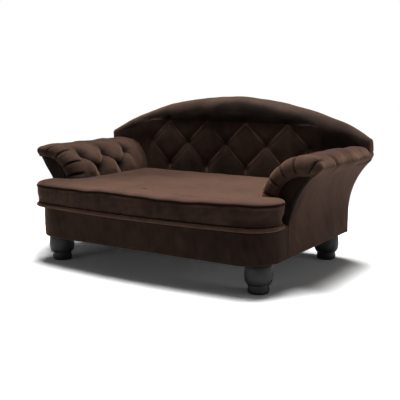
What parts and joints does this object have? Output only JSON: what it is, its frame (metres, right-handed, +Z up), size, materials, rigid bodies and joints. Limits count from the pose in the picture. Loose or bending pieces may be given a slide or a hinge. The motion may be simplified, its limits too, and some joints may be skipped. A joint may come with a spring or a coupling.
{
  "type": "dog sofa bed",
  "caption": "Small tufted sofa bed for a dog, with a bowed front, flared rolled arms, an arched crested back, turned feet and a loose piped seat cushion.",
  "frame": {"origin": "bottom centre of the object's bounding box, on the floor under the middle of the seat", "axes": "+X along the sofa to the right arm seen from the front, -Y to the front, +Z up"},
  "size_m": [0.824, 0.53, 0.42],
  "materials": {
    "velvet": "dark chocolate cut velvet with a soft nap",
    "turned_wood": "near black satin lacquer over turned wood",
    "plywood": "raw birch plywood",
    "softwood": "raw planed pine",
    "black_cloth": "thin non-woven lining",
    "zinc_steel": "zinc plated",
    "zip_tape": "woven tape and nylon coil",
    "zip_metal": "brown enamel"
  },
  "bodies": {
    "root": {"foot_front_left": "turned_wood", "foot_front_right": "turned_wood", "foot_rear_left": "turned_wood", "foot_rear_right": "turned_wood", "foot_bolts": "zinc_steel", "foot_nuts": "zinc_steel", "foot_blocks": "softwood", "front_apron": "plywood", "rear_rail": "softwood", "side_rail_left": "softwood", "side_rail_right": "softwood", "cross_rails": "softwood", "seat_deck": "plywood", "deck_cloth": "black_cloth", "dust_cover": "black_cloth", "front_band_cover": "velvet", "arm_front_board_left": "plywood", "arm_front_board_right": "plywood", "arm_rear_board_left": "plywood", "arm_rear_board_right": "plywood", "arm_lower_rail_left": "softwood", "arm_lower_rail_right": "softwood", "arm_top_batten_left": "softwood", "arm_top_batten_right": "softwood", "arm_lining_left": "plywood", "arm_lining_right": "plywood", "arm_facing_left": "velvet", "arm_facing_right": "velvet", "arm_outer_cover_left": "velvet", "arm_outer_cover_right": "velvet", "arm_pad_left": "velvet", "arm_pad_right": "velvet", "arm_screws": "zinc_steel", "back_panel": "plywood", "back_posts": "softwood", "crest_rail": "softwood", "back_pad": "velvet", "crest_roll": "velvet", "back_outer_cover": "velvet"},
    "cushion": {"seat_cushion": "velvet", "lower_welt": "velvet", "upper_piping": "velvet", "zip_tape": "zip_tape"},
    "zip_slider": {"zip_slider": "zip_metal"}
  },
  "joints": [
    {"name": "cushion_lift", "type": "slide", "parent": "root", "child": "cushion", "axis": [0, 0, 1], "range_m": [0, 0.29]},
    {"name": "zip_slide", "type": "slide", "parent": "cushion", "child": "zip_slider", "axis": [1, 0, 0], "range_m": [0, 0.34]}
  ]
}
